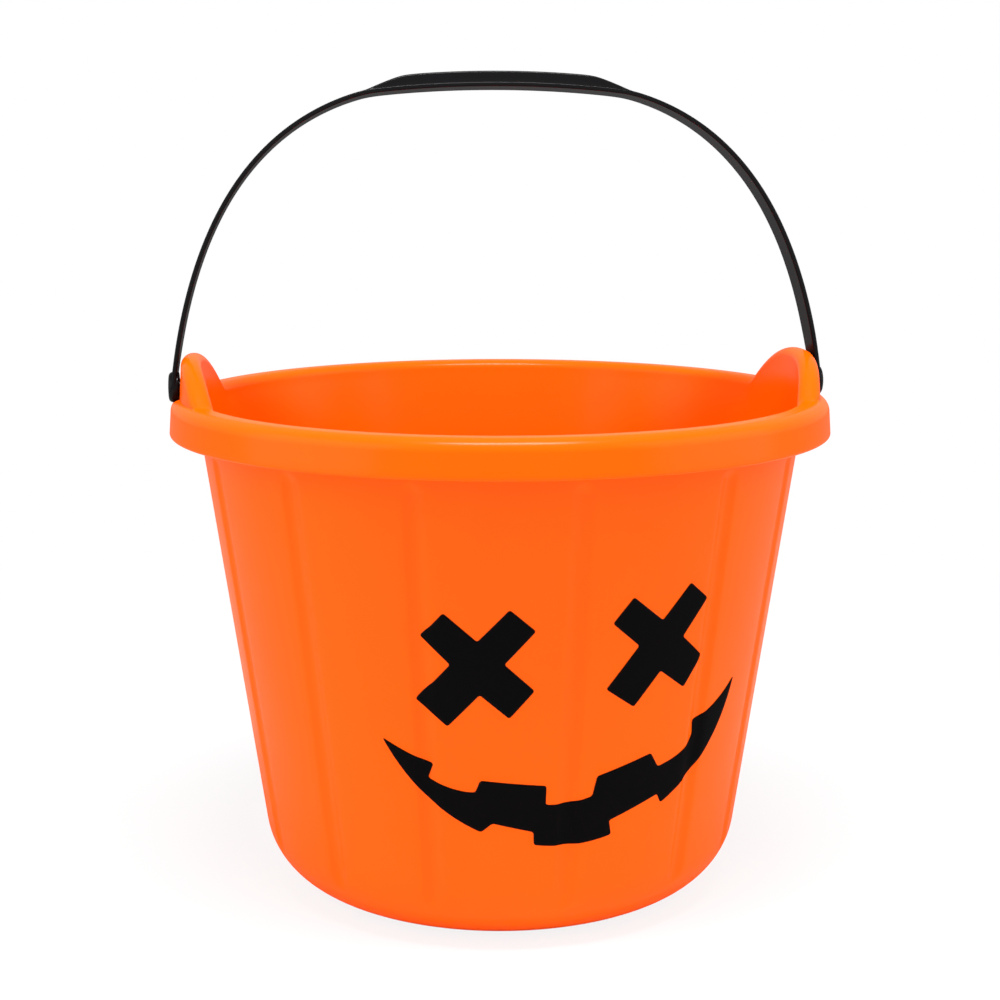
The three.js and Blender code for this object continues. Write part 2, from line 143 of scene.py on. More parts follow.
# Camera, from the photograph: its place is level distance and height, its axis meets the picture above the middle
CAMERA_TURN = 5.5 * DEG
CAMERA_PITCH = 7.917 * DEG
CAMERA_DISTANCE = 0.619
CAMERA_HEIGHT = 0.23735
CAMERA_LENS = 68.126
PICTURE = 1000
AXIS_PIXEL = (500.03, 421.63)

# Studio
FLOOR_GAP = 0.05  # keeps the floor's face and the pail's foot apart
FLOOR_HALF = 3  # metres
FLOOR_SHOWN = (0.22, 0.55)  # metres from the pail's axis: the floor turns from a table into plain white between them
FLOOR_WHITE = 0.86  # share of plain white that the camera sees up to the nearer one
FILL = 0.5  # strength of the world where it lights the pail

# Sizes that follow
TAPER_ANGLE = math.atan(TAPER)
SKIRT_BOTTOM = RIM_TOP - SKIRT_HEIGHT


def wall_outer(z):
    return FOOT_RADIUS + TAPER * z


def wall_inner(z):
    return wall_outer(z) - WALL


FOOT_CENTRE = FOOT_RADIUS + FOOT_ROUND * TAPER - FOOT_ROUND / math.cos(TAPER_ANGLE)
SKIRT_RADIUS = wall_outer(SKIRT_BOTTOM) + SKIRT_STAND
SHOULDER_RADIUS = SKIRT_RADIUS - SKIRT_DRAFT
EAR_RADIUS = SHOULDER_RADIUS - EAR_SET
MOUTH_CENTRE = wall_inner(RIM_TOP - MOUTH_ROUND) + MOUTH_ROUND
EAR_EDGE = EAR_RADIUS - EAR_DRAFT * EAR_HEIGHT - MOUTH_CENTRE - EAR_CREST  # rounding of the ear's outer top edge
FLUTE_HIGH = SKIRT_BOTTOM - FLUTE_SHORT
PIVOT_Z = RIM_TOP + PIVOT_RISE
ARCH_RISE = CROWN + CROWN_CUT + ARCH_DROP


def arch_share(z):
    """Share of the arch's half width that is left at a height above the pivots."""
    return (1 - ((z + ARCH_DROP) / ARCH_RISE) ** ARCH_POWER) ** (1 / ARCH_POWER)


EAR_FACE_TOP = EAR_HEIGHT - EAR_EDGE - PIVOT_RISE
ARCH_HALF_WIDTH = (EAR_RADIUS + STRAP_CLEAR + STRAP_THICK) / arch_share(EAR_FACE_TOP)
BOSS_INNER = EAR_RADIUS + BOSS_GAP
BOSS_OUTER = ARCH_HALF_WIDTH * arch_share(0) + BOSS_PROUD
BARB_FACE = EAR_RADIUS - EAR_DRAFT * EAR_HEIGHT - SKIN - BARB_GAP
HOLE_RADIUS = PIN_RADIUS + PIN_CLEARANCE
BARB_RADIUS = PIN_RADIUS + BARB_LIP

BUCKET_COLUMNS = 640
STRAP_SECTIONS = 200
BUCKET_SAMPLES = 14401  # fine steps from which the columns and the sections are picked
STRAP_SAMPLES = 4001
SAME_PLACE = 1e-4  # points closer than this, in millimetres, are one
CREASE = 38 * DEG  # a cut piece is shaded as sharp where its faces meet at more than this


# Small tools


def mix(a, b, share):
    return a + (b - a) * share


def eased(share):
    """0 to 1 with a level start and end."""
    share = min(max(share, 0), 1)
    return share * share * (3 - 2 * share)


def soft_min(a, b, soft):
    return (a + b - math.hypot(a - b, soft)) / 2


def soft_max(a, b, soft):
    return (a + b + math.hypot(a - b, soft)) / 2


def crowded(away, times, reach, power=4):
    """Extra density of a mesh near a place: so many times the plain one, out to about this far from it."""
    return times * np.exp(-((away / reach) ** power))


def arc(centre, radius, start, end, steps):
    """Points (r, z) round a centre, both ends included."""
    angles = [mix(start, end, i / steps) for i in range(steps + 1)]
    return [(centre[0] + radius * math.cos(a), centre[1] + radius * math.sin(a)) for a in angles]


def stretch(start, end, steps):
    """Points on a straight line, both ends included."""
    return [(mix(start[0], end[0], i / steps), mix(start[1], end[1], i / steps)) for i in range(steps + 1)]


def fillet(before, corner, after, radius, steps=4):
    """The rounding of a corner, as points on an arc that touches both of its sides."""
    b, c, a = Vector(before), Vector(corner), Vector(after)
    to_b, to_a = (b - c).normalized(), (a - c).normalized()
    half = to_b.angle(to_a) / 2
    centre = c + (to_b + to_a).normalized() * radius / math.sin(half)
    start = c + to_b * radius / math.tan(half) - centre
    turn = start.angle_signed(c + to_a * radius / math.tan(half) - centre)
    first = math.atan2(start.y, start.x)
    return arc(centre, radius, first, first - turn, steps)


def new_object(name, mesh):
    made = bpy.data.objects.new(name, mesh)
    bpy.context.scene.collection.objects.link(made)
    return made


def finish_piece(name, bm, material):
    """Closes the mesh's doubles, turns its faces outwards, brings it to metres and makes it an object."""
    bmesh.ops.remove_doubles(bm, verts=bm.verts, dist=SAME_PLACE)
    bmesh.ops.recalc_face_normals(bm, faces=bm.faces)
    bmesh.ops.scale(bm, vec=(MM, MM, MM), verts=bm.verts)
    for face in bm.faces:
        face.smooth = True
    mesh = bpy.data.meshes.new(name)
    bm.to_mesh(mesh)
    bm.free()
    mesh.materials.append(material)
    return new_object(name, mesh)


def boolean(piece, tool, operation):
    """Cuts or joins a piece with another, which is used up."""
    modifier = piece.modifiers.new("boolean", "BOOLEAN")
    modifier.operation = operation
    modifier.solver = "EXACT"
    modifier.object = tool
    graph = bpy.context.evaluated_depsgraph_get()
    mesh = bpy.data.meshes.new_from_object(piece.evaluated_get(graph))
    mesh.set_sharp_from_angle(angle=CREASE)
    piece.modifiers.clear()
    piece.data = mesh
    bpy.data.objects.remove(tool)


def place_on(piece, body, slot, *nodes):
    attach(piece, body)
    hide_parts(*nodes)


# Materials


def linear(code):
    """An sRGB hex colour as linear RGBA."""
    parts = [int(code[i : i + 2], 16) / 255 for i in (1, 3, 5)]
    return [p / 12.92 if p <= 0.04045 else ((p + 0.055) / 1.055) ** 2.4 for p in parts] + [1]


def add_node(tree, kind, inputs=None, **settings):
    """Adds a node, sets it, and links or sets its inputs by name or number."""
    made = tree.nodes.new(kind)
    for name, value in settings.items():
        setattr(made, name, value)
    for name, value in (inputs or {}).items():
        socket = made.inputs[name]
        if isinstance(value, bpy.types.NodeSocket):
            tree.links.new(value, socket)
        else:
            socket.default_value = value
    return made


def new_material(name):
    """A material with an empty tree: its tree, its output node and its Object coordinates."""
    material = bpy.data.materials.new(name)
    material.use_nodes = True
    tree = material.node_tree
    tree.nodes.clear()
    output = add_node(tree, "ShaderNodeOutputMaterial")
    place = add_node(tree, "ShaderNodeTexCoord").outputs["Object"]
    return material, tree, output, place


def per_metre(size_mm):
    """Scale of a noise whose features are about this many millimetres across."""
    return 1 / (size_mm * MM)


BODY_ROUGHNESS = 0.6  # of the matt body below a gloss
FLOW_MM = 38  # drift of the colour, drawn out along the flow
FLOW_STRETCH = 0.35
WAVE_MM = 16  # waves that shrinking leaves
WAVE_DEPTH_MM = 0.03
GLOSS_SPREAD = 0.035  # how far the grain moves the gloss's roughness either way
GLUE_MM = 5
GLUE_DEPTH_MM = 0.02
GRIT_MM = 0.5


def moulded_plastic(name, light, dark, gloss_share, gloss_ior, roughness, grain_mm, grain_depth_mm):
    """Injection-moulded plastic: one colour that drifts a little where the melt flowed, a satin skin with the fine
    grain of the tool's steel, and a faint long wave from shrinking, which bends wide highlights. The skin is a coat
    over a matt body, and its share is how much of a smooth surface's gloss the grain leaves, also at low angles."""
    material, tree, output, place = new_material(name)
    flow = add_node(tree, "ShaderNodeMapping", {"Vector": place, "Scale": (1, 1, FLOW_STRETCH)})
    drift = add_node(
        tree, "ShaderNodeTexNoise", {"Vector": flow.outputs[0], "Scale": per_metre(FLOW_MM), "Detail": 3}
    )
    colour = add_node(
        tree, "ShaderNodeMix", {"Factor": drift.outputs["Fac"], 6: linear(dark), 7: linear(light)}, data_type="RGBA"
    )
    grain = add_node(tree, "ShaderNodeTexNoise", {"Vector": place, "Scale": per_metre(grain_mm), "Detail": 2})
    gloss = add_node(
        tree,
        "ShaderNodeMapRange",
        {"Value": grain.outputs["Fac"], "To Min": roughness - GLOSS_SPREAD, "To Max": roughness + GLOSS_SPREAD},
    )
    wave = add_node(
        tree, "ShaderNodeTexNoise", {"Vector": flow.outputs[0], "Scale": per_metre(WAVE_MM), "Detail": 1}
    )
    long_bump = add_node(
        tree, "ShaderNodeBump", {"Height": wave.outputs["Fac"], "Distance": WAVE_DEPTH_MM * MM, "Strength": 1.0}
    )
    bump = add_node(
        tree,
        "ShaderNodeBump",
        {
            "Height": grain.outputs["Fac"],
            "Distance": grain_depth_mm * MM,
            "Strength": 1.0,
            "Normal": long_bump.outputs["Normal"],
        },
    )
    surface = add_node(
        tree,
        "ShaderNodeBsdfPrincipled",
        {
            "Base Color": colour.outputs[2],
            "Roughness": BODY_ROUGHNESS,
            "Specular IOR Level": 0.0,
            "Normal": bump.outputs["Normal"],
            "Coat Weight": gloss_share,
            "Coat Roughness": gloss.outputs["Result"],
            "Coat IOR": gloss_ior,
            "Coat Normal": bump.outputs["Normal"],
        },
    )
    tree.links.new(surface.outputs[0], output.inputs["Surface"])
    return material


def orange_polypropylene():
    """Polypropylene, dyed orange and moulded in a satin tool: a full, even colour, a thin light line on every
    rounding that faces up, and slightly pale sides where the wall turns away. Its gloss has a lower IOR than the
    plastic's 1.49, which keeps the colour full where the wall faces the eye."""
    return moulded_plastic(
        "injection_moulded_polypropylene_orange",
        light="#ff5e00",
        dark="#ff5800",
        gloss_share=0.3,
        gloss_ior=1.35,
        roughness=0.22,
        grain_mm=0.9,
        grain_depth_mm=0.004,
    )


def black_polypropylene():
    """The same plastic with carbon black, in a tool with a finer finish: dark, with thin grey lines of gloss along
    the strap's edges, and a brown cast below, where it sees the orange bucket."""
    return moulded_plastic(
        "injection_moulded_polypropylene_black",
        light="#0c0b0d",
        dark="#0a0a0b",
        gloss_share=0.2,
        gloss_ior=1.49,
        roughness=0.22,
        grain_mm=0.6,
        grain_depth_mm=0.004,
    )


def black_vinyl():
    """Calendered vinyl film, stuck on: flatter and darker than the handle, with a broad weak sheen and the faint
    unevenness of the glue below it."""
    material, tree, output, place = new_material("calendered_vinyl_film_black")
    glue = add_node(tree, "ShaderNodeTexNoise", {"Vector": place, "Scale": per_metre(GLUE_MM), "Detail": 2})
    grit = add_node(tree, "ShaderNodeTexNoise", {"Vector": place, "Scale": per_metre(GRIT_MM), "Detail": 1})
    colour = add_node(
        tree,
        "ShaderNodeMix",
        {"Factor": grit.outputs["Fac"], 6: linear("#030304"), 7: linear("#050506")},
        data_type="RGBA",
    )
    bump = add_node(
        tree, "ShaderNodeBump", {"Height": glue.outputs["Fac"], "Distance": GLUE_DEPTH_MM * MM, "Strength": 1.0}
    )
    surface = add_node(
        tree,
        "ShaderNodeBsdfPrincipled",
        {
            "Base Color": colour.outputs[2],
            "Roughness": BODY_ROUGHNESS,
            "Specular IOR Level": 0.0,
            "Normal": bump.outputs["Normal"],
            "Coat Weight": 0.045,
            "Coat Roughness": 0.35,
            "Coat IOR": 1.52,
            "Coat Normal": bump.outputs["Normal"],
        },
    )
    tree.links.new(surface.outputs[0], output.inputs["Surface"])
    return material


# Bucket

# A row of the bucket's section. "lift" is the share of an ear's rise that it takes. "seat" is how far it lies
# inside the shoulder that the handle's boss presses down. "ear" is where it goes on the ear's own upright wall:
# its radius, the wall's lowest and highest height before the rise, and its share of the way up.
Row = namedtuple("Row", "r z lift seat ear fluted", defaults=(0, None, None, False))


def from_ear(phi):
    """Angle about the axis to the nearer ear's middle; phi is measured from -Y towards +X."""
    return abs(abs(phi) - math.pi / 2)


def ear_rise(phi):
    """Height of the ear above the rim."""
    hump = EAR_HEIGHT * (1 - (from_ear(phi) / EAR_HALF_ANGLE) ** EAR_BULGE)
    return soft_max(hump, 0, FOOT_BLEND)


def seat_height(phi):
    """Height of the scoop under the boss: a round about the pivot, widened along the rim."""
    reach = BOSS_RADIUS + SEAT_GAP
    along = EAR_RADIUS * from_ear(phi) / SEAT_SPREAD
    return PIVOT_Z - math.sqrt(reach**2 - along**2) if along < reach else RIM_TOP + EAR_HEIGHT


def bucket_rows():
    """The closed section, from the middle of the underside, round the rim, to the middle of the floor."""
    rows = []

    def add(points, **facts):
        for r, z in points:
            if not rows or math.dist((r, z), (rows[-1].r, rows[-1].z)) > SAME_PLACE:
                rows.append(Row(r, z, **facts))

    ceiling = RIM_TOP - SKIN
    shoulder = (SHOULDER_RADIUS - SHOULDER_ROUND, RIM_TOP - SHOULDER_ROUND)
    foot = (FOOT_CENTRE, FOOT_ROUND)
    mouth = (MOUTH_CENTRE, RIM_TOP - MOUTH_ROUND)
    inner_round = SHOULDER_ROUND - SKIN
    ear_foot = math.acos((EAR_RADIUS - shoulder[0]) / SHOULDER_ROUND)
    inner_foot = math.acos((EAR_RADIUS - SKIN - shoulder[0]) / inner_round)
    foot_line = [(0, RECESS_RISE), (RECESS_RADIUS, RECESS_RISE), (RECESS_RADIUS + RECESS_STEP, 0), (FOOT_CENTRE, 0)]
    floor_line = [(r, z + WALL) for r, z in reversed(foot_line)]

    # Underside, with the gate's nub
    nub = RECESS_RISE - GATE_RISE
    add([(0, nub)] + fillet((0, nub), (GATE_RADIUS, nub), (GATE_RADIUS, RECESS_RISE), GATE_EASE))
    add([(GATE_RADIUS + 0.05, RECESS_RISE), (GATE_RADIUS + 1, RECESS_RISE), (RECESS_RADIUS / 2, RECESS_RISE)])
    add(fillet(*foot_line[:3], RECESS_EASE))
    add(fillet(*foot_line[1:], RECESS_EASE))
    add(arc(foot, FOOT_ROUND, -math.pi / 2, -TAPER_ANGLE, 22), fluted=True)

    # Outside of the wall, up into the rim's channel
    wall_top = (wall_outer(ceiling - CHANNEL_ROUND), ceiling - CHANNEL_ROUND)
    straight = rows[-1]
    flute_end = (wall_outer(FLUTE_HIGH - FLUTE_END), FLUTE_HIGH - FLUTE_END)
    add(stretch((straight.r, straight.z), flute_end, 8), fluted=True)
    add(stretch(flute_end, (wall_outer(SKIRT_BOTTOM), SKIRT_BOTTOM), 14), fluted=True)
    for share in (0.35, 0.7, 1):
        add([(mix(rows[-1].r, wall_top[0], share), mix(SKIRT_BOTTOM, wall_top[1], share))], lift=share)
    channel = fillet(wall_top, (wall_outer(ceiling), ceiling), (EAR_RADIUS, ceiling), CHANNEL_ROUND)
    add(channel, lift=1)

    # Inside of the ear: a rounded corner and the outer wall, which lie flat under the rim where there is no ear
    hollow = EAR_RADIUS - SKIN
    low = shoulder[1] + inner_round * math.sin(inner_foot)
    bends, walls = 4, 5
    flat = stretch((hollow - EAR_HEM[0], ceiling), (hollow - EAR_HEM[1], ceiling), bends + walls + 1)
    add(flat[:1], lift=1)
    for step, point in enumerate(flat[1:]):
        share = max(step - bends, 0) / walls
        bend = (1 - min(step / bends, 1)) * math.pi / 2
        radius = hollow - EAR_CORNER * (1 - math.cos(bend))
        height = ceiling - EAR_CORNER * (1 - math.sin(bend))
        add([point], ear=(radius, low, height, 1 - share), seat=SKIN)
    add(arc(shoulder, inner_round, inner_foot, 0, 6), seat=SKIN)

    # Skirt: inside, rounded lower edge, outside
    lip_in = (SKIRT_RADIUS - SKIN, SKIRT_BOTTOM)
    lip_out = (SKIRT_RADIUS, SKIRT_BOTTOM)
    add(fillet((SHOULDER_RADIUS - SKIN, RIM_TOP), lip_in, lip_out, SKIRT_INNER_LIP, 3))
    add(fillet(lip_in, lip_out, (SHOULDER_RADIUS, shoulder[1]), SKIRT_LIP, 6))
    add(stretch((rows[-1].r, rows[-1].z), (SHOULDER_RADIUS, shoulder[1]), 4))

    # Shoulder, then the ear's outer wall and its rounded top edge, which lie on the rim's top where there is no ear
    add(arc(shoulder, SHOULDER_ROUND, 0, ear_foot, 16), seat=0)
    low = shoulder[1] + SHOULDER_ROUND * math.sin(ear_foot)
    bends, walls = 11, 7
    for step in range(1, walls + bends + 1):
        r = mix(EAR_RADIUS, MOUTH_CENTRE + EAR_BRINK, step / (walls + bends))
        z = shoulder[1] + math.sqrt(SHOULDER_ROUND**2 - max(r - shoulder[0], 0) ** 2)
        bend = max(step - walls, 0) / bends * math.pi / 2
        radius = EAR_RADIUS - EAR_EDGE * (1 - math.cos(bend))
        height = RIM_TOP - EAR_EDGE * (1 - math.sin(bend))
        add([(r, z)], ear=(radius, low, height, min(step / walls, 1)), seat=0)

    # Inner rounding of the rim's top, and the inner wall
    add(arc(mouth, MOUTH_ROUND, math.pi / 2, math.pi, 12), lift=1)
    top = rows[-1]
    for step in range(1, 9):
        z = top.z - EAR_DROP * step / 8
        add([(wall_inner(z), z)], lift=eased(1 - step / 8))
    add(stretch((rows[-1].r, rows[-1].z), (wall_inner(FOOT_ROUND), FOOT_ROUND), 5))
    add(arc(foot, FOOT_ROUND - WALL, -TAPER_ANGLE, -math.pi / 2, 14))
    add(fillet(*floor_line[:3], RECESS_EASE))
    add(fillet(*floor_line[1:], RECESS_EASE))
    add([(RECESS_RADIUS / 2, WALL + RECESS_RISE), (0, WALL + RECESS_RISE)])
    return rows


def flute_angles():
    last = FRONT_FLUTES[-1]
    gap = (360 + FRONT_FLUTES[0] - last) / (BACK_FLUTES + 1)
    angles = list(FRONT_FLUTES) + [last + gap * (i + 1) for i in range(BACK_FLUTES)]
    return [math.remainder(a * DEG, 2 * math.pi) for a in angles]


FLUTES = flute_angles()


def pressed(r, phi, z):
    """How far the nearest flute is pressed in at a point of the wall: a round-ended bar laid along the taper."""
    turn = min(abs(math.remainder(phi - a, 2 * math.pi)) for a in FLUTES)
    across = r * math.sin(turn)
    if across > FLUTE_ROUND:
        return 0
    stand = (FLUTE_ROUND - FLUTE_DEPTH) / math.cos(TAPER_ANGLE)
    out = r * math.cos(turn) - wall_outer(z) - stand
    up = min(max(z, FLUTE_LOW), FLUTE_HIGH)
    past = z - up
    depth = FLUTE_ROUND - math.sqrt(across**2 + (out * math.cos(TAPER_ANGLE)) ** 2 + past**2)
    flat = soft_max(-FLUTE_ROUND, 0, FLUTE_SOFT)
    return soft_max(depth, 0, FLUTE_SOFT) - flat


def bucket_columns():
    """The angles of the bucket's upright lines: close together at flutes and ears, and wider elsewhere."""
    samples = np.linspace(-math.pi, math.pi, BUCKET_SAMPLES)
    density = np.ones_like(samples)
    for flute in FLUTES:
        away = np.abs(np.remainder(samples - flute + math.pi, 2 * math.pi) - math.pi)
        density += crowded(away, 3.2, 2.3 * DEG)
    for ear in (-math.pi / 2, math.pi / 2):
        away = np.abs(samples - ear)
        density += crowded(away, 1.3, 25 * DEG, 6) + crowded(away, 1.2, 6 * DEG)
    total = np.concatenate([[0], np.cumsum((density[1:] + density[:-1]) / 2)])
    shares = np.linspace(0, total[-1], BUCKET_COLUMNS + 1)[:-1]
    return np.interp(shares, total, samples)


def placed(row, phi):
    """Radius and height of a row at one angle round the bucket."""
    rise = ear_rise(phi)
    seat = seat_height(phi)
    r, z = row.r, row.z + row.lift * rise
    if row.seat is not None and not row.ear:
        z = soft_min(z, seat - row.seat, SEAT_SOFT)
    if row.ear:
        radius, low, high, share = row.ear
        if share < 1:
            low = soft_min(low, seat - row.seat, SEAT_SOFT)
        raised = eased(rise / EAR_EDGE)
        r = mix(r, radius - EAR_DRAFT * rise * share, raised)
        z = mix(z + rise, mix(low, high + rise, share), raised)
    if row.fluted:
        r -= pressed(r, phi, z)
    return r, z


def spun(rows, columns):
    """A section turned full round the Z axis, whose rows then move to where each angle has them."""
    bm = bmesh.new()
    number = bm.verts.layers.int.new("row")
    line = [bm.verts.new((0, -row.r, row.z)) for row in rows]
    for i, vert in enumerate(line):
        vert[number] = i
    edges = [bm.edges.new(pair) for pair in zip(line, line[1:])]
    bmesh.ops.spin(
        bm,
        geom=line + edges,
        cent=(0, 0, 0),
        axis=(0, 0, 1),
        angle=2 * math.pi,
        steps=len(columns),
        use_merge=True,
        use_normal_flip=False,
        use_duplicate=False,
    )
    for vert in bm.verts:
        row = rows[vert[number]]
        if row.r == 0:
            continue
        turn = math.atan2(vert.co.x, -vert.co.y) / (2 * math.pi)
        phi = float(columns[round(turn * len(columns)) % len(columns)])
        r, z = placed(row, phi)
        vert.co = (r * math.sin(phi), -r * math.cos(phi), z)
    return bm


def round_bar(radius, start, end, segments=48):
    """A bar along X on the pivot line."""
    bm = bmesh.new()
    turn = Matrix.Translation(((start + end) / 2, 0, PIVOT_Z)) @ Matrix.Rotation(math.pi / 2, 4, "Y")
    bmesh.ops.create_cone(
        bm,
        cap_ends=True,
        segments=segments,
        radius1=radius,
        radius2=radius,
        depth=end - start,
        matrix=turn,
    )
    return bm


def make_bucket(material):
    piece = finish_piece("bucket_shell", spun(bucket_rows(), bucket_columns()), material)
    for side in (-1, 1):
        ends = sorted((side * (EAR_RADIUS - SKIN - 1), side * (EAR_RADIUS + 1)))
        boolean(piece, finish_piece("pin_hole", round_bar(HOLE_RADIUS, *ends), material), "DIFFERENCE")
    place_on(piece, "pail", "orange_plastic", "bucket")


# Handle


def flattened(x, z):
    """Height above the pivots of the strap's outer line, where the arch's curve gives z at x."""
    return soft_min(z, CROWN - CROWN_SAG * (x / GRIP_HALF) ** 2, CROWN_BLEND)


def arch_point(turn):
    share = 2 / ARCH_POWER
    x = ARCH_HALF_WIDTH * math.copysign(abs(math.cos(turn)) ** share, math.cos(turn))
    return Vector((x, flattened(x, ARCH_RISE * math.sin(turn) ** share - ARCH_DROP)))


def pad_height(x):
    """Height of the grip above the strap: a level top between two sloping ends."""
    slope = GRIP_HEIGHT * (GRIP_HALF - abs(x)) / GRIP_RAMP
    return soft_max(soft_min(GRIP_HEIGHT, slope, GRIP_BLEND), 0, GRIP_END_BLEND)


def strap_half(z):
    """Half width of the strap, which swells from the bosses to its full width."""
    return mix(BOSS_RADIUS, STRAP_WIDTH / 2, eased(z / STRAP_NECK))


def rounded_strip(half, low, high, radius, steps=4):
    """Half a section from its middle line at the bottom, round two corners, to the middle line at the top."""
    bottom = arc((half - radius, low + radius), radius, -math.pi / 2, 0, steps)
    top = arc((half - radius, high - radius), radius, 0, math.pi / 2, steps)
    return bottom + top


def handle_section(half, pad):
    """Half of the strap's section with the pad on it, as points (across, above the strap's outer face)."""
    side = half - GRIP_INSET
    under = [(half * share, -STRAP_THICK) for share in (0.3, 0.6, 0.86)]
    strap = rounded_strip(half, -STRAP_THICK, 0, STRAP_EDGE)
    foot = min(GRIP_FOOT, pad * 0.3)
    edge = min(GRIP_EDGE, pad * 0.6)
    level = [(side + GRIP_FOOT + 0.02, 0), (side + GRIP_FOOT * 0.3, foot * 0.3), (side, foot)]
    wall = [(side - 0.03, mix(foot, pad - edge, 0.5))]
    turns = [math.pi / 2 * i / 6 for i in range(7)]
    corner = side - GRIP_DRAFT - GRIP_EDGE
    top = [(corner + GRIP_EDGE * math.cos(a), pad - edge + edge * math.sin(a)) for a in turns]
    middle = [(corner * share, pad) for share in (0.9, 0.6, 0.3)]
    return under + strap + level + wall + top + middle


def swept(sections):
    """A skin through a row of closed sections, by extruding the first one's outline from each to the next."""
    bm = bmesh.new()
    ring = [bm.verts.new(point) for point in sections[0]]
    edges = [bm.edges.new((ring[i - 1], ring[i])) for i in range(len(ring))]
    bmesh.ops.contextual_create(bm, geom=edges)
    order = list(ring)
    for section in sections[1:]:
        loop = [bm.edges.get((order[i - 1], order[i])) for i in range(len(order))]
        made = bmesh.ops.extrude_edge_only(bm, edges=loop)["geom"]
        fresh = {v for v in made if isinstance(v, bmesh.types.BMVert)}
        following = []
        for vert in order:
            following.append(next(e.other_vert(vert) for e in vert.link_edges if e.other_vert(vert) in fresh))
        for vert, point in zip(following, section):
            vert.co = point
        order = following
    bmesh.ops.contextual_create(bm, geom=[bm.edges.get((order[i - 1], order[i])) for i in range(len(order))])
    return bm


def strap_turns():
    """Steps along the arch, closer together where the grip's ends rise."""
    low = math.asin((ARCH_DROP / ARCH_RISE) ** (ARCH_POWER / 2))
    samples = np.linspace(low, math.pi - low, STRAP_SAMPLES)
    spots = np.array([arch_point(t)[:] for t in samples])
    steps = np.hypot(*np.diff(spots, axis=0).T)
    middles = (spots[1:, 0] + spots[:-1, 0]) / 2
    ends = np.abs(np.abs(middles) - (GRIP_HALF - GRIP_RAMP / 2))
    weight = steps * (1 + crowded(ends, 2.5, GRIP_RAMP, 2))
    total = np.concatenate([[0], np.cumsum(weight)])
    return np.interp(np.linspace(0, total[-1], STRAP_SECTIONS), total, samples)


def strap_and_grip():
    turns = strap_turns()
    points = [arch_point(t) for t in turns]
    sections = []
    for i, point in enumerate(points):
        along = points[min(i + 1, len(points) - 1)] - points[max(i - 1, 0)]
        outward = Vector((along.y, -along.x)).normalized()
        half = handle_section(strap_half(point.y), pad_height(point.x))
        outline = half + [(-a, h) for a, h in reversed(half)]
        spots = [(point + outward * h, a) for a, h in outline]
        sections.append([(spot.x, across, spot.y) for spot, across in spots])
    return swept(sections)


def pivot_end():
    """Boss, pin and slotted barb at the +X end, turned about the pivot line."""
    tip = BARB_FACE - BARB_LENGTH
    section = [(0, tip), (BARB_RADIUS - BARB_CHAMFER, tip), (BARB_RADIUS, tip + BARB_CHAMFER)]
    section += [(BARB_RADIUS, BARB_FACE), (PIN_RADIUS, BARB_FACE), (PIN_RADIUS, BOSS_INNER)]
    boss_in, boss_out = (BOSS_RADIUS, BOSS_INNER), (BOSS_RADIUS, BOSS_OUTER)
    section += fillet((PIN_RADIUS, BOSS_INNER), boss_in, boss_out, BOSS_INNER_ROUND, 3)
    section += fillet(boss_in, boss_out, (0, BOSS_OUTER), BOSS_ROUND, 8)
    section += [(BOSS_RADIUS / 3, BOSS_OUTER), (0, BOSS_OUTER)]
    bm = bmesh.new()
    line = [bm.verts.new((x, r, 0)) for r, x in section]
    edges = [bm.edges.new(pair) for pair in zip(line, line[1:])]
    bmesh.ops.spin(
        bm,
        geom=line + edges,
        cent=(0, 0, 0),
        axis=(1, 0, 0),
        angle=2 * math.pi,
        steps=64,
        use_merge=True,
        use_normal_flip=False,
        use_duplicate=False,
    )
    return bm


def barb_slot():
    bm = bmesh.new()
    bmesh.ops.create_cube(bm, size=1)
    bmesh.ops.scale(bm, vec=(BARB_SLOT_DEPTH + 1, 3 * BARB_RADIUS, BARB_SLOT), verts=bm.verts)
    middle = BARB_FACE - BARB_LENGTH + (BARB_SLOT_DEPTH - 1) / 2
    bmesh.ops.translate(bm, vec=(middle, 0, 0), verts=bm.verts)
    return bm


def at_end(side, bm):
    """A shape made at the +X end, or its mirror image at the -X end."""
    bmesh.ops.scale(bm, vec=(side, 1, 1), verts=bm.verts)
    return bm


def make_handle(material):
    piece = finish_piece("strap_handle", strap_and_grip(), material)
    for name, side in (("left", -1), ("right", 1)):
        end = finish_piece(f"{name}_end", at_end(side, pivot_end()), material)
        boolean(end, finish_piece(f"{name}_slot", at_end(side, barb_slot()), material), "DIFFERENCE")
        boolean(piece, end, "UNION")
    lean = Matrix.Translation((0, 0, PIVOT_Z * MM)) @ Matrix.Rotation(-HANDLE_LEAN, 4, "X")
    piece.data.transform(lean)
    place_on(piece, "handle", "black_plastic", "handle")


